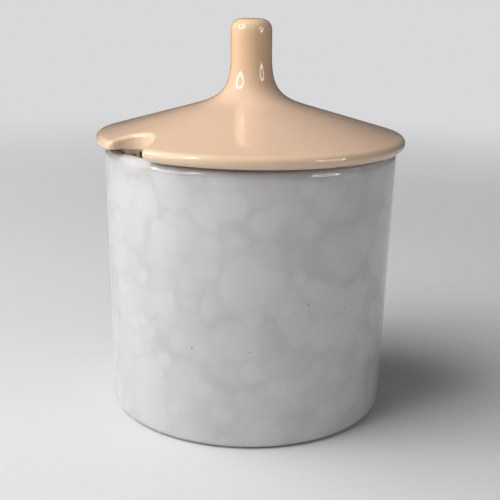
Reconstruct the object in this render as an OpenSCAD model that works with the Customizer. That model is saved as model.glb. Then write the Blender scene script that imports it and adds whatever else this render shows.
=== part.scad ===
// Lidded jam pot in glazed earthenware: a straight-sided pot and a loose conical lid.
// The lid is one casting with its stalk knob and locating flange, and has a notch for a spoon.
// Millimetres, +Z up. The origin is the centre of the ring that the pot stands on.

/* [Pot] */
// Outside diameter at the rim
rim_d = 84; // [70:0.5:110]
// Height from the table to the top of the rim
pot_h = 76.6; // [50:0.1:130]
// Radius that the outside loses from the rim down to the base
draft = 1.25; // [0:0.05:3]
// Thickness of the side wall
wall_t = 4; // [3.4:0.1:6]
// Thickness of the floor above the recess in the base
floor_t = 4.5; // [3:0.1:8]
// Rounding of the outside of the rim
rim_outer_round = 1.6; // [0.6:0.1:1.8]
// Rounding of the inside of the rim
rim_inner_round = 0.9; // [0.4:0.1:1.2]
// Rounding of the outside of the base
base_round = 2; // [0.5:0.1:4]
// Rounding between the inside wall and the floor
floor_round = 7; // [2:0.5:14]
// Width of the flat ring that the pot stands on
foot_w = 3.6; // [2:0.1:8]
// Height of the recess inside the standing ring
foot_recess = 1.2; // [0.5:0.1:2.5]

/* [Lid] */
// How far the edge of the lid stands out past the rim
lid_overhang = 2.3; // [1.4:0.1:5]
// Thickness of the round edge of the lid
edge_t = 3.6; // [2.4:0.1:5]
// Height of the underside of the edge above the top of the rim
edge_lift = 0.25; // [0.1:0.05:0.8]
// Angle of the cone to the horizontal
cone_angle = 15.9; // [10:0.1:22]
// Thickness of the cone above its hollow underside
shell_t = 4.2; // [3.4:0.1:6]
// Height of the groove over the rim, measured from the top of the rim
groove_h = 1.4; // [1:0.1:2.4]
// Width of the ring of the lid that rests on the flat top of the rim
seat_w = 0.6; // [0.4:0.05:0.8]
// Gap round the flange inside the pot
flange_gap = 0.8; // [0.3:0.05:1.5]
// Thickness of the locating flange
flange_t = 3.2; // [2:0.1:5]
// Depth of the locating flange below the top of the rim
flange_depth = 6; // [3:0.1:12]
// Radius at which the hollow underside levels off below the knob
hollow_top_r = 9; // [4:0.5:16]

/* [Knob] */
// Diameter of the stalk
knob_d = 11.65; // [8:0.05:16]
// Height of the top of the knob above the top of the rim
knob_h = 35.5; // [30:0.1:50]
// Rounding of the top of the knob
knob_round = 3; // [0.8:0.1:3.6]
// Height of the slight dome inside that rounding
knob_dome = 0.15; // [0.1:0.05:0.8]
// Radius at which the cone starts to sweep up to the stalk
sweep_r = 17; // [13:0.5:24]
// Height above the rim at which the stalk is straight
sweep_h = 25.7; // [20:0.1:28]

/* [Spoon notch] */
// Width of the notch
notch_w = 13.4; // [8:0.2:16]
// Depth of the notch, in from the edge of the lid
notch_depth = 8.5; // [7.5:0.1:10]
// Width of the gap in the flange, where the spoon passes it
gap_w = 6.4; // [6:0.2:20]
// Rounding of the two lips, seen from above
lip_round = 2; // [1:0.1:3.4]
// Direction of the notch, anticlockwise from +X
notch_angle = 221.3; // [0:0.1:359]

/* [Hidden] */

$fn = 96;
// Straight pieces in each curve of an outline
STEPS = 12;
// Extra length of a cut, so that it passes right through
overrun = 2;
// How far the handles of the sweep reach towards the corner where cone and stalk would meet
SWEEP_SHARES = [0.8, 0.84];

rim_r = rim_d / 2;
inner_r = rim_r - wall_t;
base_r = rim_r - draft;
floor_z = foot_recess + floor_t;

lid_r = rim_r + lid_overhang;
edge_r = edge_t / 2;
edge_z = pot_h + edge_lift + edge_r;
groove_z = pot_h + groove_h;
seat_r = inner_r + rim_inner_round + seat_w;
flange_r = inner_r - flange_gap;
hollow_r = flange_r - flange_t;
flange_z = pot_h - flange_depth;
knob_r = knob_d / 2;
knob_z = pot_h + knob_h;

notch_r = notch_w / 2;
// Distance from the axis of the lid to the centre of the notch's round end
notch_x = lid_r - notch_depth + notch_r;
// Height of the rib of the flange that stays above the gap
gap_rib = 0.5;
// How far the rounding of a lip runs out past the edge of the lid
lip_over = 0.1;
// Centre of a lip: its rounding touches the round end and runs out at the edge of the lid
lip_reach = lid_r - lip_round + lip_over;
lip_x = (pow(lip_reach, 2) - pow(notch_r + lip_round, 2) + pow(notch_x, 2)) / (2 * notch_x);
lip_y = sqrt(pow(lip_reach, 2) - pow(lip_x, 2));

// Radius of the outside of the pot at height z
function side_r(z) = base_r + draft * z / pot_h;
// Height of the top of the cone at radius r: the line that touches the round edge
function cone_z(r) = edge_z + edge_r / cos(cone_angle) + (lid_r - edge_r - r) * tan(cone_angle);
// Height of the hollow underside at radius r
function hollow_z(r) = cone_z(r) - shell_t / cos(cone_angle);
// Points of an arc about the centre c
function arc(c, r, from, to) =
    [for (i = [0 : STEPS]) let (a = from + (to - from) * i / STEPS) c + r * [cos(a), sin(a)]];
// Points of a cubic curve, without its first point
function curve(a, b, c, d) =
    [for (i = [1 : STEPS]) let (t = i / STEPS)
        pow(1 - t, 3) * a + 3 * pow(1 - t, 2) * t * b + 3 * (1 - t) * t * t * c + t * t * t * d];

// The turned shape of the pot, from the recess below round to the inside of the floor
module pot_outline() {
    foot_out = base_r - base_round;
    foot_in = foot_out - foot_w;
    inside_r = side_r(floor_z) - wall_t;
    polygon(concat(
        [[0, foot_recess], [foot_in - foot_recess, foot_recess], [foot_in, 0]],
        arc([foot_out, base_round], base_round, -90, 0),
        arc([rim_r - rim_outer_round, pot_h - rim_outer_round], rim_outer_round, 0, 90),
        arc([inner_r + rim_inner_round, pot_h - rim_inner_round], rim_inner_round, 90, 180),
        arc([inside_r - floor_round, floor_z + floor_round], floor_round, 0, -90),
        [[0, floor_z]]
    ));
}

// The turned shape of the lid with its knob, flange and hollow underside
module lid_outline() {
    edge_c = [lid_r - edge_r, edge_z];
    // From here the underside of the edge rises to the groove at 45 degrees
    edge_low = edge_c - edge_r * sqrt(2) / 2 * [1, 1];
    top_c = [knob_r - knob_round, knob_z - knob_dome - knob_round];
    foot = [sweep_r, cone_z(sweep_r)];
    stalk = [knob_r, pot_h + sweep_h];
    corner = [knob_r, cone_z(knob_r)];
    sweep_low = foot + SWEEP_SHARES[0] * (corner - foot);
    sweep_high = stalk + SWEEP_SHARES[1] * (corner - stalk);
    polygon(concat(
        [[0, hollow_z(hollow_top_r)], [hollow_top_r, hollow_z(hollow_top_r)]],
        [[hollow_r, hollow_z(hollow_r)], [hollow_r, flange_z], [flange_r, flange_z]],
        [[flange_r, pot_h], [seat_r, pot_h], [seat_r, groove_z]],
        [[edge_low[0] - (groove_z - edge_low[1]), groove_z]],
        arc(edge_c, edge_r, -135, 0),
        [for (i = [1 : STEPS]) arc(edge_c, edge_r, 0, 90 - cone_angle)[i]],
        [foot],
        curve(foot, sweep_low, sweep_high, stalk),
        arc(top_c, knob_round, 0, 90),
        [[0, knob_z]]
    ));
}

// The notch seen from above, with its round end towards the axis and its lips rounded
module notch_plan() {
    out_a = atan2(lip_y, lip_x);
    touch_a = atan2(lip_y, lip_x - notch_x);
    past = (lid_r + overrun) * [cos(out_a), sin(out_a)];
    polygon(concat(
        [past],
        arc([lip_x, lip_y], lip_round, out_a, touch_a - 180),
        arc([notch_x, 0], notch_r, touch_a, 360 - touch_a),
        arc([lip_x, -lip_y], lip_round, 180 - touch_a, -out_a),
        [[past[0], -past[1]]]
    ));
}

module pot() {
    color("gainsboro") rotate_extrude() pot_outline();
}

module lid() {
    cut_h = cone_z(notch_x - notch_r) - flange_z + 2 * overrun;
    gap_x = hollow_r - overrun;
    color("burlywood") difference() {
        rotate_extrude() lid_outline();
        rotate([0, 0, notch_angle]) {
            translate([0, 0, flange_z - overrun]) linear_extrude(cut_h) notch_plan();
            // Below the cone the cut goes on through the flange, so that the spoon can pass
            translate([gap_x, -gap_w / 2, flange_z - 2 * overrun])
                cube([notch_x - gap_x, gap_w, groove_z - gap_rib - flange_z + 2 * overrun]);
        }
    }
}

pot();
lid();
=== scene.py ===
# The looks of a lidded jam pot: a mottled grey-white glaze on the pot and a peach glaze on the lid.
import math

import bmesh
import bpy
from mathutils import Matrix, Vector, kdtree


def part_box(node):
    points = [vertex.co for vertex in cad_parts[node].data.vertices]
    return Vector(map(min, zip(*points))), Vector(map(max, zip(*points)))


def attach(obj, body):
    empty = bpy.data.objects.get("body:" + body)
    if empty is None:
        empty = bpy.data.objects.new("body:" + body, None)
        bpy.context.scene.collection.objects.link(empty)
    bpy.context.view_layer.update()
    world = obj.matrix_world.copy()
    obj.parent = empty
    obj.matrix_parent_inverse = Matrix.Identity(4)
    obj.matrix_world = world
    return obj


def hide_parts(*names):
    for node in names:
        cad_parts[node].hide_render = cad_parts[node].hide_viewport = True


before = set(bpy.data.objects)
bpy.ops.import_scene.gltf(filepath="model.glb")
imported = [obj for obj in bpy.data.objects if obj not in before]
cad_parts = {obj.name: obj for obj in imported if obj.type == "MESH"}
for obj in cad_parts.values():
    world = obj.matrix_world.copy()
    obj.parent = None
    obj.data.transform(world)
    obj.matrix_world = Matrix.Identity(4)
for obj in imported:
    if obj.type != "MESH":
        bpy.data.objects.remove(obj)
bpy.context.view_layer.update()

bl_info = {
    "name": "Lidded jam pot",
    "version": (1, 0, 0),
    "blender": (4, 5, 0),
    "location": "View3D > Sidebar > Jam pot",
    "description": "Builds the glazed pot, its lid with the spoon notch, and the studio that shows them",
    "category": "Object",
}

MM = 0.001
pot_low, pot_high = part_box("pot")
lid_low, lid_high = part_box("lid")
RIM_RADIUS = pot_high[0]
RIM_HEIGHT = pot_high[2]
LID_RADIUS = min(-lid_low[0], lid_high[0], -lid_low[1], lid_high[1])
KNOB_TOP = lid_high[2]
FULL_TURN = 2 * math.pi
# Edges of a mesh count as at least this long where its bend is measured
SHORTEST_EDGE = 0.05 * MM
# The glaze is fully thin where the mean bend round a point is one over this radius
FULL_BULGE = 4.4 * MM
# How far the two handles of the sweep reach towards the corner where cone and stalk would meet
SWEEP_SHARES = (0.8, 0.84)
# How far the roundings of the notch's lips run out past the edge of the lid
LIP_OVER = 0.1 * MM
# How far the tools that cut the notch reach past the lid, and how high the notch's tool is
CUT_OVER = 2 * MM
CAP_HEIGHT = 8 * MM
# How far the notch's tool turns outwards along a rounding, in how many steps, and how far it then goes on
ROUND_TURN = math.radians(75)
ROUND_STEPS = 8
CLEAR = 0.6 * MM
# The roundings take at most this share of the lid's thickness, which counts as at least the second
ROUND_SHARE = 0.94
THINNEST = 0.05 * MM
# Distances from the seat over which the lower rounding grows to the groove's, and then to the lip's
GROOVE_ROUNDING = (0, 0.8 * MM)
LIP_ROUNDING = (1 * MM, 2.6 * MM)
# The cream band beside the notch, thin glaze with a painted highlight, is centred on its rounding, this share
# of it below the top
CREAM_HIGHLIGHT_BELOW = 0.3
# Height of the rib of the flange that stays above the gap
GAP_RIB = 0.5 * MM
# The stalk leans from this share of the knob's height upwards
LEAN_FROM = 0.24
# Scales and places of the layers of blobs in the pot's glaze
BLOB_LAYERS = (
    (75.0, (0.0, 0.0, 0.0)),
    (90.0, (0.31, 0.12, 0.07)),
    (120.0, (0.17, 0.41, 0.23)),
    (150.0, (0.53, 0.26, 0.37)),
)
BLOB_SOFTNESS = 0.4
# Strength at which the camera sees the background, and distances over which the floor passes into it
BACKGROUND = 1.15
FLOOR_FADE = (0.16, 0.7)
# Lamps: name, property with the power, degrees to the side and up, distance, size, whether it is a ring
LAMPS = (
    ("upper lamp", "upper", (-78, 46), 1.1, 1.8, False),
    ("left lamp", "key", (-62, 30), 0.42, 0.32, True),
    ("right lamp", "fill", (58, 15), 0.50, 0.22, True),
)
LAMP_AIM = (0, 0, 0.085)


# Properties


def length(name, description, default):
    return bpy.props.FloatProperty(
        name=name, description=description, default=default, unit="LENGTH", subtype="DISTANCE", precision=5
    )


def turn(name, description, degrees):
    return bpy.props.FloatProperty(
        name=name, description=description, default=math.radians(degrees), unit="ROTATION", subtype="ANGLE"
    )


def colour(name, description, default):
    return bpy.props.FloatVectorProperty(
        name=name, description=description, default=default, size=3, min=0, max=1, subtype="COLOR"
    )


def amount(name, description, default, low=0.0, high=1.0):
    return bpy.props.FloatProperty(name=name, description=description, default=default, min=low, max=high)


class PotSizes(bpy.types.PropertyGroup):
    rim_radius: length("Rim radius", "Outside radius at the rim", RIM_RADIUS)
    height: length("Height", "Height of the top of the rim", RIM_HEIGHT)
    draft: length("Draft", "Radius lost from the rim to the base", 1.25 * MM)
    wall: length("Wall", "Thickness of the side wall", 4 * MM)
    floor: length("Floor", "Height of the inside of the floor", 5.7 * MM)
    recess: length("Recess", "Height of the recess in the base", 1.2 * MM)
    foot_width: length("Foot width", "Width of the ring that the pot stands on", 3.6 * MM)
    rim_outside: length("Rim outside", "Rounding of the outside of the rim", 2.3 * MM)
    rim_inside: length("Rim inside", "Rounding of the inside of the rim", 0.9 * MM)
    base_round: length("Base rounding", "Rounding of the outside of the base", 2 * MM)
    floor_round: length("Floor rounding", "Rounding between the wall and the floor", 7 * MM)


class LidSizes(bpy.types.PropertyGroup):
    radius: length("Radius", "Outside radius of the lid", LID_RADIUS)
    edge_radius: length("Edge radius", "Radius of the round edge", 1.8 * MM)
    edge_lift: length("Edge lift", "Underside of the edge above the rim", 0.25 * MM)
    cone_angle: turn("Cone angle", "Slope of the cone", 15.9)
    shell: length("Shell", "Thickness of the cone above the hollow underside", 4.2 * MM)
    groove: length("Groove", "Height of the groove over the rim", 1.4 * MM)
    seat_radius: length("Seat radius", "Outside radius of the ring that rests on the rim", 39.5 * MM)
    flange_radius: length("Flange radius", "Outside radius of the locating flange", 37.2 * MM)
    flange_thickness: length("Flange thickness", "Thickness of the locating flange", 3.2 * MM)
    flange_depth: length("Flange depth", "Depth of the flange below the rim", 6 * MM)
    hollow_radius: length("Hollow radius", "Radius at which the hollow underside levels off", 9 * MM)


class KnobSizes(bpy.types.PropertyGroup):
    top: length("Top", "Height of the top of the knob", KNOB_TOP)
    radius: length("Radius", "Radius of the stalk", 5.825 * MM)
    rounding: length("Rounding", "Rounding of the top", 3 * MM)
    dome: length("Dome", "Height of the slight dome of the top", 0.15 * MM)
    sweep_radius: length("Sweep radius", "Radius at which the cone starts to sweep up", 17 * MM)
    sweep_height: length("Sweep height", "Height above the rim at which the stalk is straight", 25.7 * MM)
    lean: length("Lean", "How far the top of the hand-pulled knob leans to the left", 0.38 * MM)


class NotchSizes(bpy.types.PropertyGroup):
    direction: turn("Direction", "Direction of the notch, anticlockwise from +X", 221.3)
    radius: length("Radius", "Radius of the round end", 6.7 * MM)
    depth: length("Depth", "Depth of the notch, in from the edge", 8.5 * MM)
    lip: length("Lip", "Rounding of the two lips, seen from above", 2 * MM)
    top_round: length("Top rounding", "Rounding of the upper edge of the notch", 1.1 * MM)
    low_round: length("Lower rounding", "Rounding of the lower edge over the groove", 0.8 * MM)
    lip_round: length("Lip rounding", "Rounding of the underside of the two lips", 1.8 * MM)
    left_taper: amount("Left taper", "How far the edge's underside rises to the groove at the left lip", 0.9)
    right_taper: amount("Right taper", "The same at the right lip", 0.4)
    left_fade: length("Left fade", "Length along the edge over which the left taper fades out", 9 * MM)
    right_fade: length("Right fade", "The same for the right taper", 6 * MM)
    gap: length("Gap", "Width of the gap in the flange", 6.4 * MM)


class GlazeColours(bpy.types.PropertyGroup):
    ground: colour("Ground", "Warm grey between the pot's pale blobs", (0.474, 0.460, 0.450))
    blob: colour("Blob", "Pale blobs of the pot's glaze", (0.550, 0.545, 0.562))
    thin_white: colour("Thin white glaze", "The pot's glaze where it runs thin", (0.70, 0.66, 0.60))
    peach: colour("Peach", "Glaze of the lid", (0.728, 0.503, 0.352))
    knob_peach: colour("Peach of the knob", "The lid's glaze on the stalk, yellower", (0.732, 0.500, 0.320))
    # Thin peach glaze colour, also used as the painted highlight along the notch's upper edge
    thin_peach_and_highlight: colour("Thin peach glaze", "The lid's glaze where it runs thin", (0.735, 0.585, 0.380))
    speck: colour("Speck", "Iron specks in the glaze", (0.085, 0.060, 0.045))
    biscuit: colour("Biscuit", "Unglazed clay of the standing ring", (0.62, 0.50, 0.36))
    # Unglazed clay, darkened past the clay's own colour as painted shade for the shadowed groove and slit
    # under the lid
    bare_seat_and_shade: colour("Bare seat", "Unglazed clay of the lid's seat and flange", (0.34, 0.23, 0.155))


class StageSizes(bpy.types.PropertyGroup):
    floor: colour("Floor", "Colour of the floor", (0.60, 0.60, 0.61))
    distance: length("Camera distance", "Level distance from the axis to the camera", 260.378 * MM)
    height: length("Camera height", "Height of the camera", 117.434 * MM)
    down: bpy.props.FloatProperty(
        name="Look down", description="Angle below level", default=0.2725, unit="ROTATION", subtype="ANGLE"
    )
    aside: bpy.props.FloatProperty(
        name="Look aside", description="Angle to the right", default=0.0016, unit="ROTATION", subtype="ANGLE"
    )
    roll: bpy.props.FloatProperty(
        name="Roll", description="Roll of the camera", default=0.0194, unit="ROTATION", subtype="ANGLE"
    )
    lens: amount("Lens", "Focal length in millimetres on a 36 mm frame", 64.858, 10, 300)
    upper: amount("Upper lamp", "Power of the large soft lamp above the left side, in watts", 20, 0, 100)
    key: amount("Left lamp", "Power of the ring lamp on the left, in watts", 0.90, 0, 100)
    fill: amount("Right lamp", "Power of the ring lamp on the right, in watts", 0.43, 0, 100)
    world: amount("World", "Strength of the light from all round", 0.10, 0, 10)


# Outlines and turned shapes


def rise(value, low, high):
    """Share of the way from low to high, held between 0 and 1."""
    return min(max((value - low) / (high - low), 0), 1)


def smooth(t):
    return t * t * (3 - 2 * t)


def chain(bm, points, start=None):
    """Adds a line of edges through (radius, height) points, from start if there is one."""
    verts = [start] if start else []
    for radius, height in points:
        verts.append(bm.verts.new((radius, 0, height)))
    for a, b in zip(verts, verts[1:]):
        bm.edges.new((a, b))
    return verts


def round_corner(bm, vert, radius, segments=8):
    """Rounds a corner of the outline to a radius."""
    a, b = [(e.other_vert(vert).co - vert.co).normalized() for e in vert.link_edges]
    half_turn = (math.pi - a.angle(b)) / 2
    bmesh.ops.bevel(
        bm, geom=[vert], offset=radius * math.tan(half_turn), offset_type="OFFSET", segments=segments,
        profile=0.5, affect="VERTICES", material=-1,
    )


def even_out(bm, step):
    """Cuts the long pieces of the outline, so that no edge is much longer than a step."""
    for e in list(bm.edges):
        cuts = int(e.calc_length() / step)
        if cuts:
            bmesh.ops.subdivide_edges(bm, edges=[e], cuts=cuts)


def turn_round(bm, steps):
    """Spins the outline round the Z axis into a closed skin."""
    bmesh.ops.spin(
        bm, geom=bm.verts[:] + bm.edges[:], cent=(0, 0, 0), axis=(0, 0, 1), angle=FULL_TURN, steps=steps,
        use_merge=True, use_duplicate=False,
    )
    bmesh.ops.remove_doubles(bm, verts=bm.verts, dist=0.002 * MM)
    bmesh.ops.recalc_face_normals(bm, faces=bm.faces)


def curve(a, b, c, d, steps):
    """Points of a cubic curve from a to d, without a."""
    points = []
    for i in range(1, steps + 1):
        t = i / steps
        w = ((1 - t) ** 3, 3 * (1 - t) ** 2 * t, 3 * (1 - t) * t * t, t ** 3)
        points.append([sum(k * p[j] for k, p in zip(w, (a, b, c, d))) for j in (0, 1)])
    return points


def new_object(name, bm):
    mesh = bpy.data.meshes.new(name)
    bm.to_mesh(mesh)
    bm.free()
    obj = bpy.data.objects.new(name, mesh)
    bpy.context.scene.collection.objects.link(obj)
    return obj


def mark_thin_glaze_and_highlight(obj, weight=1.0, edge=(), reach=2 * MM, passes=2):
    """Stores where glaze runs thin on bulges, and a band within reach of an edge's points that is partly thin
    glaze and partly a painted highlight, as the attribute thin.
    """
    bm = bmesh.new()
    bm.from_mesh(obj.data)
    bm.normal_update()
    bulge = []
    for v in bm.verts:
        bends = [
            e.calc_face_angle_signed(0) / max(e.calc_length(), SHORTEST_EDGE)
            for e in v.link_edges if len(e.link_faces) == 2
        ]
        bulge.append(sum(bends) / max(len(v.link_edges), 1))
    bm.verts.index_update()
    near = [[e.other_vert(v).index for e in v.link_edges] for v in bm.verts]
    bm.free()
    for _ in range(passes):
        bulge = [0.5 * b + 0.5 * sum(bulge[j] for j in n) / max(len(n), 1) for b, n in zip(bulge, near)]
    thin = [weight * min(max(b * FULL_BULGE, 0), 1) for b in bulge]
    # The band along the edge's points is partly thin glaze and partly a painted highlight
    if edge:
        tree = kdtree.KDTree(len(edge))
        for i, point in enumerate(edge):
            tree.insert(point, i)
        tree.balance()
        for i, v in enumerate(obj.data.vertices):
            notch_highlight_band = smooth(rise(tree.find(v.co)[2], reach, 0))
            thin[i] = max(min(thin[i], weight * 0.5), notch_highlight_band)
    layer = obj.data.attributes.new("thin", "FLOAT", "POINT")
    layer.data.foreach_set("value", thin)


def finish_piece(obj, material, node, body):
    """Shades a piece smooth but for its sharp corners, and hands it to the frame."""
    obj.data.shade_smooth()
    obj.data.set_sharp_from_angle(angle=math.radians(42))
    obj.data.materials.clear()
    obj.data.materials.append(material)
    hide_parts(node)
    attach(obj, body)


# Glazes


class Nodes:
    """A node tree with short ways to add and join nodes."""

    def __init__(self, tree):
        self.tree = tree

    def add(self, kind, inputs=None, **settings):
        node = self.tree.nodes.new(kind)
        for key, value in settings.items():
            setattr(node, key, value)
        for key, value in (inputs or {}).items():
            if isinstance(value, bpy.types.NodeSocket):
                self.tree.links.new(value, node.inputs[key])
            else:
                node.inputs[key].default_value = value
        return node

    def math(self, operation, *values, clamp=False):
        node = self.add("ShaderNodeMath", dict(enumerate(values)), operation=operation, use_clamp=clamp)
        return node.outputs[0]

    def ramp(self, value, low, high, to_low=0.0, to_high=1.0):
        """Maps low..high smoothly to to_low..to_high."""
        node = self.add(
            "ShaderNodeMapRange",
            {"Value": value, "From Min": low, "From Max": high, "To Min": to_low, "To Max": to_high},
            interpolation_type="SMOOTHSTEP",
        )
        return node.outputs["Result"]

    def mix(self, factor, a, b, blend="MIX"):
        node = self.add("ShaderNodeMix", {"Factor": factor}, data_type="RGBA", blend_type=blend)
        for socket, value in ((node.inputs[6], a), (node.inputs[7], b)):
            if isinstance(value, bpy.types.NodeSocket):
                self.tree.links.new(value, socket)
            else:
                socket.default_value = (*value, 1)
        return node.outputs[2]


def node_group(name, inputs, outputs):
    """Makes a shader node group with named sockets: returns its Nodes, its inputs and its outputs."""
    tree = bpy.data.node_groups.new(name, "ShaderNodeTree")
    for label, kind, value in inputs:
        socket = tree.interface.new_socket(name=label, in_out="INPUT", socket_type=kind)
        if value is not None:
            socket.default_value = value
    for label, kind in outputs:
        tree.interface.new_socket(name=label, in_out="OUTPUT", socket_type=kind)
    nodes = Nodes(tree)
    return nodes, nodes.add("NodeGroupInput").outputs, nodes.add("NodeGroupOutput").inputs


FLOAT, VECTOR, COLOR = "NodeSocketFloat", "NodeSocketVector", "NodeSocketColor"


def specks_group():
    """Small dark iron specks, a few on each side of the pot."""
    n, given, out = node_group(
        "Iron specks",
        [("Vector", VECTOR, None), ("Scale", FLOAT, 130.0), ("Size", FLOAT, 0.04)],
        [("Mask", FLOAT)],
    )
    cells = n.add("ShaderNodeTexVoronoi", {"Vector": given["Vector"], "Scale": given["Scale"]})
    inner = n.math("MULTIPLY", given["Size"], 0.4)
    n.tree.links.new(n.ramp(cells.outputs["Distance"], given["Size"], inner), out["Mask"])
    return n.tree


def ripple_group():
    """The slow waves and the fine orange peel of a fired glaze, as a height in metres."""
    n, given, out = node_group(
        "Glaze ripple",
        [("Vector", VECTOR, None), ("Wave", FLOAT, 0.04 * MM), ("Peel", FLOAT, 0.002 * MM)],
        [("Height", FLOAT)],
    )
    wave = n.add("ShaderNodeTexNoise", {"Vector": given["Vector"], "Scale": 55.0, "Detail": 1.0})
    peel = n.add("ShaderNodeTexNoise", {"Vector": given["Vector"], "Scale": 900.0, "Detail": 1.0})
    slow = n.math("MULTIPLY", wave.outputs["Fac"], given["Wave"])
    fine = n.math("MULTIPLY", peel.outputs["Fac"], given["Peel"])
    n.tree.links.new(n.math("ADD", slow, fine), out["Height"])
    return n.tree


def thin_group():
    """Where the glaze has run thin: the bulging edges, broken up a little; on the lid the attribute also
    holds the painted highlight beside the notch.
    """
    n, given, out = node_group(
        "Thin glaze",
        [("Vector", VECTOR, None), ("Start", FLOAT, 0.25), ("End", FLOAT, 0.85)],
        [("Mask", FLOAT)],
    )
    bulge = n.add("ShaderNodeAttribute", attribute_name="thin").outputs["Fac"]
    noise = n.add("ShaderNodeTexNoise", {"Vector": given["Vector"], "Scale": 240.0, "Detail": 2.0})
    shift = n.math("MULTIPLY_ADD", noise.outputs["Fac"], 0.16, -0.08)
    n.tree.links.new(n.ramp(n.math("ADD", bulge, shift), given["Start"], given["End"]), out["Mask"])
    return n.tree


def blobs_group():
    """Soft round blobs as a sponge leaves them, each with its own size and strength."""
    n, given, out = node_group(
        "Sponged blobs",
        [
            ("Vector", VECTOR, None), ("Scale", FLOAT, 100.0), ("Softness", FLOAT, BLOB_SOFTNESS),
            ("Place", VECTOR, None),
        ],
        [("Mask", FLOAT)],
    )
    place = n.add("ShaderNodeVectorMath", {0: given["Vector"], 1: given["Place"]}, operation="ADD").outputs[0]
    cells = n.add(
        "ShaderNodeTexVoronoi", {"Vector": place, "Scale": given["Scale"], "Smoothness": 0.35},
        feature="SMOOTH_F1",
    )
    part = n.add("ShaderNodeSeparateColor", {"Color": cells.outputs["Color"]}).outputs
    reach = n.math("MULTIPLY_ADD", part[0], 0.30, 0.51)
    inside = n.math("SUBTRACT", reach, given["Softness"])
    disc = n.ramp(cells.outputs["Distance"], reach, inside)
    strength = n.math("MULTIPLY_ADD", part[1], 0.55, 0.45)
    n.tree.links.new(n.math("MULTIPLY", disc, strength), out["Mask"])
    return n.tree


def group_node(n, tree, **inputs):
    node = n.add("ShaderNodeGroup", node_tree=tree)
    for key, value in inputs.items():
        if isinstance(value, bpy.types.NodeSocket):
            n.tree.links.new(value, node.inputs[key])
        else:
            node.inputs[key].default_value = value
    return node.outputs[0]


def shared(name, make):
    return bpy.data.node_groups.get(name) or make()


def new_glaze(name):
    """A material with a coated shader: returns it, its Nodes, the shader and the object's coordinates."""
    material = bpy.data.materials.new(name)
    material.use_nodes = True
    n = Nodes(material.node_tree)
    shader = material.node_tree.nodes["Principled BSDF"]
    shader.inputs["IOR"].default_value = 1.6
    shader.inputs["Coat Weight"].default_value = 0.6
    shader.inputs["Coat Roughness"].default_value = 0.045
    place = n.add("ShaderNodeTexCoord").outputs["Object"]
    return material, n, shader, place


def add_ripple(n, shader, place, wave, peel):
    height = group_node(n, shared("Glaze ripple", ripple_group), Vector=place, Wave=wave, Peel=peel)
    bump = n.add("ShaderNodeBump", {"Height": height, "Strength": 1.0, "Distance": 1.0})
    n.tree.links.new(bump.outputs[0], shader.inputs["Normal"])


def mottled_glaze(colours):
    """The pot: pale sponged blobs over a warm grey ground, with iron specks and a bare standing ring."""
    material, n, shader, place = new_glaze("mottled glaze")
    noise = n.add("ShaderNodeTexNoise", {"Vector": place, "Scale": 110.0, "Detail": 5.0})
    middle = (0.5, 0.5, 0.5)
    centred = n.add("ShaderNodeVectorMath", {0: noise.outputs["Color"], 1: middle}, operation="SUBTRACT")
    drift = n.add("ShaderNodeVectorMath", {0: centred.outputs[0], "Scale": 6 * MM}, operation="SCALE")
    warped = n.add("ShaderNodeVectorMath", {0: place, 1: drift.outputs[0]}, operation="ADD").outputs[0]
    blobs = shared("Sponged blobs", blobs_group)
    layers = [
        group_node(n, blobs, Vector=warped, Scale=scale, Softness=BLOB_SOFTNESS, Place=at)
        for scale, at in BLOB_LAYERS
    ]
    mask = layers[0]
    for layer in layers[1:]:
        mask = n.math("SMOOTH_MAX", mask, layer, 0.15)
    cloud = n.add("ShaderNodeTexNoise", {"Vector": place, "Scale": 60.0, "Detail": 6.0})
    mask = n.math("MULTIPLY_ADD", n.math("SUBTRACT", cloud.outputs["Fac"], 0.52), 1.3, mask, clamp=True)
    body = n.mix(mask, colours.ground, colours.blob)
    thin = group_node(n, shared("Thin glaze", thin_group), Vector=place, Start=0.3, End=0.9)
    body = n.mix(n.math("MULTIPLY", thin, 0.6), body, colours.thin_white)
    speck = group_node(n, shared("Iron specks", specks_group), Vector=place, Scale=130.0, Size=0.04)
    body = n.mix(n.math("MULTIPLY", speck, 0.75), body, colours.speck)
    height = n.add("ShaderNodeSeparateXYZ", {"Vector": place}).outputs["Z"]
    bare = n.ramp(height, 0.45 * MM, 0.1 * MM)
    body = n.mix(bare, body, colours.biscuit)
    n.tree.links.new(body, shader.inputs["Base Color"])
    grain = n.add("ShaderNodeTexNoise", {"Vector": place, "Scale": 120.0, "Detail": 4.0})
    gloss = n.ramp(grain.outputs["Fac"], 0.3, 0.7, 0.04, 0.08)
    n.tree.links.new(n.math("ADD", gloss, n.math("MULTIPLY", bare, 0.6)), shader.inputs["Roughness"])
    add_ripple(n, shader, place, 0.04 * MM, 0.0008 * MM)
    return material


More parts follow.
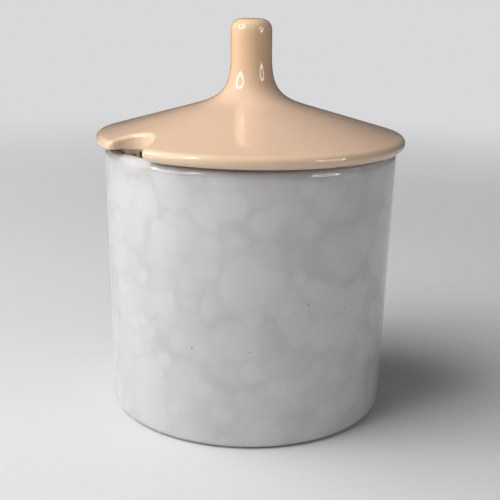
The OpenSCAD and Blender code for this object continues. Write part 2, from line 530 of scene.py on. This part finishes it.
def peach_glaze(colours):
    """The lid: an even peach glaze, paler and yellower where it runs thin, with a painted highlight in the
    cream band along the notch's upper edge.
    """
    material, n, shader, place = new_glaze("peach glaze")
    cloud = n.add("ShaderNodeTexNoise", {"Vector": place, "Scale": 70.0, "Detail": 4.0})
    grain = n.add("ShaderNodeTexNoise", {"Vector": place, "Scale": 1500.0, "Detail": 2.0})
    soft = n.ramp(cloud.outputs["Fac"], 0.3, 0.7, -0.012, 0.012)
    fine = n.ramp(grain.outputs["Fac"], 0.3, 0.7, 0.985, 1.01)
    shade = n.math("ADD", soft, fine)
    tone = n.add("ShaderNodeCombineColor", {"Red": shade, "Green": shade, "Blue": shade}).outputs[0]
    height = n.add("ShaderNodeSeparateXYZ", {"Vector": place}).outputs["Z"]
    upright = n.ramp(height, RIM_HEIGHT + 12 * MM, RIM_HEIGHT + 24 * MM)
    body = n.mix(1.0, n.mix(upright, colours.peach, colours.knob_peach), tone, blend="MULTIPLY")
    # thin holds the thin glaze and, beside the notch, a painted highlight
    thin = group_node(n, shared("Thin glaze", thin_group), Vector=place, Start=0.1, End=0.9)
    body = n.mix(n.math("MULTIPLY", thin, 0.9), body, colours.thin_peach_and_highlight)
    flat = n.add("ShaderNodeVectorMath", {0: place, 1: (1.0, 1.0, 0.0)}, operation="MULTIPLY").outputs[0]
    radius = n.add("ShaderNodeVectorMath", {0: flat}, operation="LENGTH").outputs["Value"]
    # Seat, shoulder and flange below the groove: bare clay, its dark colour also painted shade for the recess
    # under the lid's edge
    low = n.ramp(height, RIM_HEIGHT + 1.7 * MM, RIM_HEIGHT + 1.2 * MM)
    bare = n.math("MULTIPLY", low, n.ramp(radius, RIM_RADIUS - 1.6 * MM, RIM_RADIUS - 2.2 * MM))
    body = n.mix(bare, body, colours.bare_seat_and_shade)
    speck = group_node(n, shared("Iron specks", specks_group), Vector=place, Scale=80.0, Size=0.018)
    body = n.mix(n.math("MULTIPLY", speck, 0.5), body, colours.speck)
    n.tree.links.new(body, shader.inputs["Base Color"])
    gloss = n.ramp(cloud.outputs["Fac"], 0.3, 0.7, 0.08, 0.12)
    n.tree.links.new(n.math("ADD", gloss, n.math("MULTIPLY", bare, 0.6)), shader.inputs["Roughness"])
    add_ripple(n, shader, place, 0.025 * MM, 0.0006 * MM)
    return material


# Pieces


class JAMPOT_OT_pot(bpy.types.Operator):
    """Build the glazed pot"""

    bl_idname = "jampot.pot"
    bl_label = "Pot"

    def execute(self, context):
        s = context.scene.jampot_pot
        base_radius = s.rim_radius - s.draft
        foot_outside = base_radius - s.base_round
        foot_inside = foot_outside - s.foot_width
        inner_radius = s.rim_radius - s.wall
        inner_base = inner_radius - s.draft * (1 - s.floor / s.height)
        bm = bmesh.new()
        line = chain(bm, [
            (0, s.recess), (foot_inside - s.recess, s.recess), (foot_inside, 0), (base_radius, 0),
            (s.rim_radius, s.height), (inner_radius, s.height), (inner_base, s.floor), (0, s.floor),
        ])
        rounds = {2: 0.4 * MM, 3: s.base_round, 4: s.rim_outside, 5: s.rim_inside, 6: s.floor_round}
        for i, radius in rounds.items():
            round_corner(bm, line[i], radius, segments=10)
        even_out(bm, 1.6 * MM)
        turn_round(bm, 240)
        pot = new_object("glazed_pot", bm)
        mark_thin_glaze_and_highlight(pot)
        finish_piece(pot, mottled_glaze(context.scene.jampot_glaze), "pot", "pot_body")
        return {"FINISHED"}


def cone_height(s, radius):
    """Height of the top of the lid's cone at a radius."""
    edge_z = context_rim() + s.edge_lift + s.edge_radius
    slope = math.tan(s.cone_angle)
    return edge_z + s.edge_radius / math.cos(s.cone_angle) + (s.radius - s.edge_radius - radius) * slope


def context_rim():
    return bpy.context.scene.jampot_pot.height


def notch_plan(s, cut, grow, steps=18):
    """Points of the notch seen from above, grown outwards: lip, round end and lip, between two outside."""
    end_x = s.radius - cut.depth + cut.radius
    reach = s.radius - cut.lip + LIP_OVER
    lip_x = (reach ** 2 - (cut.radius + cut.lip) ** 2 + end_x ** 2) / (2 * end_x)
    lip_y = math.sqrt(reach ** 2 - lip_x ** 2)
    out = math.atan2(lip_y, lip_x)
    touch = math.atan2(lip_y, lip_x - end_x)
    points = []
    for i in range(steps):
        a = out + (touch - math.pi - out) * i / steps
        points.append(Vector((lip_x, lip_y, 0)) + (cut.lip - grow) * Vector((math.cos(a), math.sin(a), 0)))
    for i in range(2 * steps + 1):
        a = touch + (2 * math.pi - 2 * touch) * i / (2 * steps)
        points.append(Vector((end_x, 0, 0)) + (cut.radius + grow) * Vector((math.cos(a), math.sin(a), 0)))
    points += [Vector((p.x, -p.y, 0)) for p in points[steps - 1::-1]]
    past = (s.radius + CUT_OVER) * Vector((math.cos(out), math.sin(out), 0))
    return [past] + points + [Vector((past.x, -past.y, 0))]


class LidSkin:
    """Heights of the lid's upper and lower skin at a radius, over the groove and the round edge."""

    def __init__(self, s):
        self.s = s
        self.rim = context_rim()
        self.groove_z = self.rim + s.groove
        self.edge_z = self.rim + s.edge_lift + s.edge_radius
        self.edge_x = s.radius - s.edge_radius

    def half(self, r):
        """Half the height of the round edge."""
        return math.sqrt(max(self.s.edge_radius ** 2 - (r - self.edge_x) ** 2, 0))

    def top(self, r):
        if r < self.edge_x + self.s.edge_radius * math.sin(self.s.cone_angle):
            return cone_height(self.s, r)
        return self.edge_z + self.half(r)

    def under(self, r):
        diagonal = self.s.edge_radius * math.sqrt(0.5)
        inside = self.edge_x - diagonal
        if r > inside:
            return self.edge_z - self.half(r)
        drop = rise(r, inside - self.s.edge_radius / 3, inside)
        return self.groove_z + drop * (self.edge_z - diagonal - self.groove_z)

    def thickness(self, r):
        return max(self.top(r) - self.under(r), THINNEST)


def notch_rounds(s, cut, skin, r):
    """Roundings of the notch's upper and lower edge at a radius, smaller where the lid is thin."""
    from_seat = r - s.seat_radius
    low_round = cut.low_round * rise(from_seat, *GROOVE_ROUNDING)
    low_round += (cut.lip_round - cut.low_round) * rise(from_seat, *LIP_ROUNDING)
    share = min(1, ROUND_SHARE * skin.thickness(r) / (cut.top_round + low_round))
    return cut.top_round * share, low_round * share


def notch_tool(s, cut):
    """The tool that cuts the notch: rings from below the flange to above the lid, flared at both skins."""
    skin = LidSkin(s)
    turns = [ROUND_TURN * i / ROUND_STEPS for i in range(ROUND_STEPS + 1)]
    flare = [(1 - math.cos(a), math.sin(a)) for a in turns]
    widest, tallest = flare[-1]
    rings = [("below", widest, 0)] + [("under", out, up) for out, up in reversed(flare)]
    rings += [("top", out, up) for out, up in flare] + [("past", widest, 0), ("cap", widest, 0)]
    plain = notch_plan(s, cut, 0)
    bm = bmesh.new()
    loops = []
    for kind, out, up in rings:
        loop = []
        for i, point in enumerate(plain):
            top_round, low_round = notch_rounds(s, cut, skin, min(point.length, s.radius))
            grow = (low_round if kind in ("below", "under") else top_round) * out
            if kind in ("past", "cap"):
                grow += CLEAR * math.sin(ROUND_TURN)
            grown = notch_plan(s, cut, grow)[i]
            r = min(grown.length, s.radius)
            height = {
                "below": skin.rim - s.flange_depth - CUT_OVER,
                "under": skin.under(r) + low_round * (tallest - up),
                "top": skin.top(r) - top_round * (tallest - up),
                "past": skin.top(r) + CLEAR * math.cos(ROUND_TURN),
                "cap": skin.edge_z + CAP_HEIGHT,
            }[kind]
            loop.append(bm.verts.new((grown.x, grown.y, height)))
        loops.append([bm.edges.new(pair) for pair in zip(loop, loop[1:] + loop[:1])])
    for a, b in zip(loops, loops[1:]):
        bmesh.ops.bridge_loops(bm, edges=a + b)
    bmesh.ops.contextual_create(bm, geom=loops[0])
    bmesh.ops.contextual_create(bm, geom=loops[-1])
    bmesh.ops.remove_doubles(bm, verts=bm.verts, dist=0.001 * MM)
    return bm


def gap_tool(s, cut):
    """The tool that cuts the gap in the flange, up to the rib below the groove's ceiling."""
    gap_from = s.flange_radius - s.flange_thickness - CUT_OVER
    gap_to = s.radius - cut.depth + cut.radius
    gap_top = context_rim() + s.groove - GAP_RIB
    size = Vector((gap_to - gap_from, cut.gap, s.flange_depth + s.groove + 2 * CUT_OVER))
    centre = Vector(((gap_to + gap_from) / 2, 0, gap_top - size.z / 2))
    bm = bmesh.new()
    bmesh.ops.create_cube(bm, size=1, matrix=Matrix.Translation(centre) @ Matrix.Diagonal((*size, 1)))
    return bm


class JAMPOT_OT_lid(bpy.types.Operator):
    """Build the glazed lid with its knob, flange and spoon notch"""

    bl_idname = "jampot.lid"
    bl_label = "Lid"

    def execute(self, context):
        s = context.scene.jampot_lid
        knob = context.scene.jampot_knob
        cut = context.scene.jampot_notch
        lid = self.turned_lid(s, knob)
        edge = self.cut_notch(context, lid, s, cut)
        self.thin_lips(lid, s, cut)
        # Thin glaze on bulges, and a cream band along the notch's upper edge that is partly a painted
        # highlight
        mark_thin_glaze_and_highlight(lid, 0.8, edge, 1.35 * MM)
        self.lean_knob(lid, knob)
        finish_piece(lid, peach_glaze(context.scene.jampot_glaze), "lid", "lid_body")
        return {"FINISHED"}

    def turned_lid(self, s, knob):
        rim = context_rim()
        groove_z = rim + s.groove
        flange_z = rim - s.flange_depth
        hollow = s.flange_radius - s.flange_thickness
        under = s.shell / math.cos(s.cone_angle)
        bm = bmesh.new()
        line = chain(bm, [
            (0, cone_height(s, s.hollow_radius) - under),
            (s.hollow_radius, cone_height(s, s.hollow_radius) - under),
            (hollow, cone_height(s, hollow) - under), (hollow, flange_z), (s.flange_radius, flange_z),
            (s.flange_radius, rim), (s.seat_radius, rim), (s.seat_radius, groove_z),
        ])
        centre = (s.radius - s.edge_radius, 0, rim + s.edge_lift + s.edge_radius)
        # The underside of the edge rises at 45 degrees from its round to the groove
        diagonal = s.edge_radius * math.sqrt(0.5)
        low = (centre[0] - diagonal, centre[2] - diagonal)
        edge = chain(bm, [(low[0] - (groove_z - low[1]), groove_z), low], line[-1])
        bow = math.radians(225) - s.cone_angle
        turned = bmesh.ops.spin(
            bm, geom=[edge[-1]], cent=centre, axis=(0, -1, 0), angle=bow, steps=28, use_merge=False,
            use_duplicate=False,
        )
        last = [v for v in turned["geom_last"] if isinstance(v, bmesh.types.BMVert)][0]
        foot = (knob.sweep_radius, cone_height(s, knob.sweep_radius))
        stalk = (knob.radius, rim + knob.sweep_height)
        corner = (knob.radius, cone_height(s, knob.radius))
        low_handle = [f + SWEEP_SHARES[0] * (c - f) for f, c in zip(foot, corner)]
        high_handle = [f + SWEEP_SHARES[1] * (c - f) for f, c in zip(stalk, corner)]
        sweep = curve(foot, low_handle, high_handle, stalk, 20)
        top = chain(bm, [foot] + sweep + [(knob.radius, knob.top - knob.dome), (0, knob.top)], last)
        # Roundings of the hollow, the flange, the seat, the groove, the edge and the knob's top
        rounds = (
            (line[1], 3 * MM), (line[2], 1.4 * MM), (line[3], 1.2 * MM), (line[4], 0.8 * MM),
            (line[5], 0.3 * MM), (line[6], 0.3 * MM), (line[7], 0.5 * MM), (edge[1], 0.4 * MM),
            (top[-2], knob.rounding),
        )
        for vert, radius in rounds:
            round_corner(bm, vert, radius, segments=8 if radius > 2 * MM else 4)
        even_out(bm, 1.2 * MM)
        turn_round(bm, 300)
        return new_object("glazed_lid", bm)

    def cut_notch(self, context, lid, s, cut):
        """Cuts the notch and the gap below it, and returns points of the notch's upper edge."""
        turned = Matrix.Rotation(cut.direction, 3, "Z")
        for shape in (notch_tool(s, cut), gap_tool(s, cut)):
            bmesh.ops.recalc_face_normals(shape, faces=shape.faces)
            bmesh.ops.rotate(shape, verts=shape.verts, cent=(0, 0, 0), matrix=turned)
            cutter = new_object("cutter", shape)
            boolean = lid.modifiers.new("notch", "BOOLEAN")
            boolean.operation = "DIFFERENCE"
            boolean.solver = "MANIFOLD"
            boolean.object = cutter
            with context.temp_override(object=lid, active_object=lid):
                bpy.ops.object.modifier_apply(modifier=boolean.name)
            bpy.data.objects.remove(cutter)
        skin = LidSkin(s)
        upper = []
        for p in notch_plan(s, cut, 0)[1:-1]:
            height = skin.top(min(p.length, s.radius)) - CREAM_HIGHLIGHT_BELOW * cut.top_round
            upper.append(turned @ Vector((p.x, p.y, height)))
        return upper

    def lean_knob(self, lid, knob):
        """Leans the upper part of the stalk to the left, as a hand-pulled knob does."""
        upright = context_rim() + LEAN_FROM * (knob.top - context_rim())
        for v in lid.data.vertices:
            share = max(v.co.z - upright, 0) / (knob.top - upright)
            v.co.x -= knob.lean * share

    def thin_lips(self, lid, s, cut):
        """Lifts the underside of the edge towards the groove beside the notch, most at its left lip."""
        level = context_rim() + s.groove
        for v in lid.data.vertices:
            r = math.hypot(v.co.x, v.co.y)
            if v.co.z >= level or r < s.seat_radius + 0.4 * MM:
                continue
            along = (math.atan2(v.co.y, v.co.x) - cut.direction + math.pi) % FULL_TURN - math.pi
            reach = abs(along) * s.radius - cut.radius
            if along < 0:
                share, fade = cut.left_taper, cut.left_fade
            else:
                share, fade = cut.right_taper, cut.right_fade
            v.co.z += (level - v.co.z) * share * smooth(rise(reach, fade, 0))


# Stage


class JAMPOT_OT_stage(bpy.types.Operator):
    """Build the floor, the lamps and the camera"""

    bl_idname = "jampot.stage"
    bl_label = "Stage"

    def execute(self, context):
        s = context.scene.jampot_stage
        self.floor(s)
        for name, power, direction, distance, size, ring in LAMPS:
            self.lamp(name, getattr(s, power), direction, distance, size, ring)
        self.sky(context, s)
        self.camera(context, s)
        return {"FINISHED"}

    def floor(self, s):
        bm = bmesh.new()
        bmesh.ops.create_circle(bm, cap_ends=True, segments=96, radius=6)
        floor = new_object("floor", bm)
        material = bpy.data.materials.new("pale floor")
        material.use_nodes = True
        n = Nodes(material.node_tree)
        shader = material.node_tree.nodes["Principled BSDF"]
        shader.inputs["Base Color"].default_value = (*s.floor, 1)
        shader.inputs["Roughness"].default_value = 0.6
        place = n.add("ShaderNodeTexCoord").outputs["Object"]
        away = n.add("ShaderNodeVectorMath", {0: place}, operation="LENGTH").outputs["Value"]
        seen = n.add("ShaderNodeLightPath").outputs["Is Camera Ray"]
        plain = n.add("ShaderNodeEmission", {"Color": (*s.floor, 1), "Strength": BACKGROUND})
        share = n.math("MULTIPLY", n.ramp(away, *FLOOR_FADE), seen)
        blend = n.add("ShaderNodeMixShader", {0: share, 1: shader.outputs[0], 2: plain.outputs[0]})
        n.tree.links.new(blend.outputs[0], material.node_tree.nodes["Material Output"].inputs["Surface"])
        floor.data.materials.append(material)

    def lamp(self, name, power, direction, distance, size, ring):
        """A round lamp, with its light in a ring or fading out from its middle, aimed at the object."""
        side, up = (math.radians(a) for a in direction)
        data = bpy.data.lights.new(name, "AREA")
        data.shape = "DISK"
        data.size = size
        data.energy = power
        data.use_nodes = True
        n = Nodes(data.node_tree)
        place = n.add("ShaderNodeNewGeometry").outputs["Parametric"]
        centred = n.add("ShaderNodeVectorMath", {0: place, 1: (0.5, 0.5, 0)}, operation="SUBTRACT").outputs[0]
        away = n.add("ShaderNodeVectorMath", {0: centred}, operation="LENGTH").outputs["Value"]
        if ring:
            band = n.math("MULTIPLY", n.ramp(away, 0.28, 0.36), n.ramp(away, 0.5, 0.44))
            strength = n.math("MULTIPLY_ADD", band, 1.6, 0.12)
        else:
            strength = n.ramp(away, 0.5, 0.25, 0.0, 1.7)
        emission = [x for x in n.tree.nodes if x.type == "EMISSION"][0]
        n.tree.links.new(strength, emission.inputs["Strength"])
        lamp = bpy.data.objects.new(name, data)
        lamp.visible_glossy = ring
        back = Vector((math.sin(side) * math.cos(up), -math.cos(side) * math.cos(up), math.sin(up)))
        lamp.location = Vector(LAMP_AIM) + distance * back
        lamp.rotation_euler = back.to_track_quat("Z", "Y").to_euler()
        bpy.context.scene.collection.objects.link(lamp)

    def sky(self, context, s):
        world = bpy.data.worlds.new("studio")
        world.use_nodes = True
        n = Nodes(world.node_tree)
        back = world.node_tree.nodes["Background"]
        back.inputs["Color"].default_value = (1, 1, 1, 1)
        back.inputs["Strength"].default_value = s.world
        seen = n.add("ShaderNodeBackground", {"Color": (*s.floor, 1), "Strength": BACKGROUND})
        camera = n.add("ShaderNodeLightPath").outputs["Is Camera Ray"]
        both = n.add("ShaderNodeMixShader", {0: camera, 1: back.outputs[0], 2: seen.outputs[0]})
        n.tree.links.new(both.outputs[0], world.node_tree.nodes["World Output"].inputs["Surface"])
        context.scene.world = world

    def camera(self, context, s):
        data = bpy.data.cameras.new("camera")
        data.sensor_width = 36
        data.lens = s.lens
        data.clip_start = 0.005
        forward = Vector((
            math.sin(s.aside) * math.cos(s.down), math.cos(s.aside) * math.cos(s.down), -math.sin(s.down),
        ))
        right = forward.cross(Vector((0, 0, 1))).normalized()
        up = right.cross(forward)
        x = math.cos(s.roll) * right + math.sin(s.roll) * up
        y = -math.sin(s.roll) * right + math.cos(s.roll) * up
        camera = bpy.data.objects.new("camera", data)
        axes = Matrix((x, y, -forward)).transposed().to_4x4()
        camera.matrix_world = Matrix.Translation((0, -s.distance, s.height)) @ axes
        context.scene.collection.objects.link(camera)
        context.scene.camera = camera
        context.scene.view_settings.view_transform = "Standard"


class JAMPOT_PT_panel(bpy.types.Panel):
    """Sizes and colours of the jam pot"""

    bl_label = "Jam pot"
    bl_idname = "JAMPOT_PT_panel"
    bl_space_type = "VIEW_3D"
    bl_region_type = "UI"
    bl_category = "Jam pot"

    def draw(self, context):
        for key, (group, operators) in PARTS.items():
            box = self.layout.box()
            for name in group.__annotations__:
                box.prop(getattr(context.scene, key), name)
            for operator in operators:
                box.operator(operator)


PARTS = {
    "jampot_pot": (PotSizes, ["jampot.pot"]),
    "jampot_lid": (LidSizes, []),
    "jampot_knob": (KnobSizes, []),
    "jampot_notch": (NotchSizes, ["jampot.lid"]),
    "jampot_glaze": (GlazeColours, []),
    "jampot_stage": (StageSizes, ["jampot.stage"]),
}
CLASSES = [group for group, _ in PARTS.values()]
CLASSES += [JAMPOT_OT_pot, JAMPOT_OT_lid, JAMPOT_OT_stage, JAMPOT_PT_panel]


def register():
    for cls in CLASSES:
        bpy.utils.register_class(cls)
    for key, (group, _) in PARTS.items():
        setattr(bpy.types.Scene, key, bpy.props.PointerProperty(type=group))


def unregister():
    for key in PARTS:
        delattr(bpy.types.Scene, key)
    for cls in reversed(CLASSES):
        bpy.utils.unregister_class(cls)


def main():
    register()
    bpy.ops.jampot.stage()
    bpy.ops.jampot.pot()
    bpy.ops.jampot.lid()


if __name__ == "__main__":
    main()
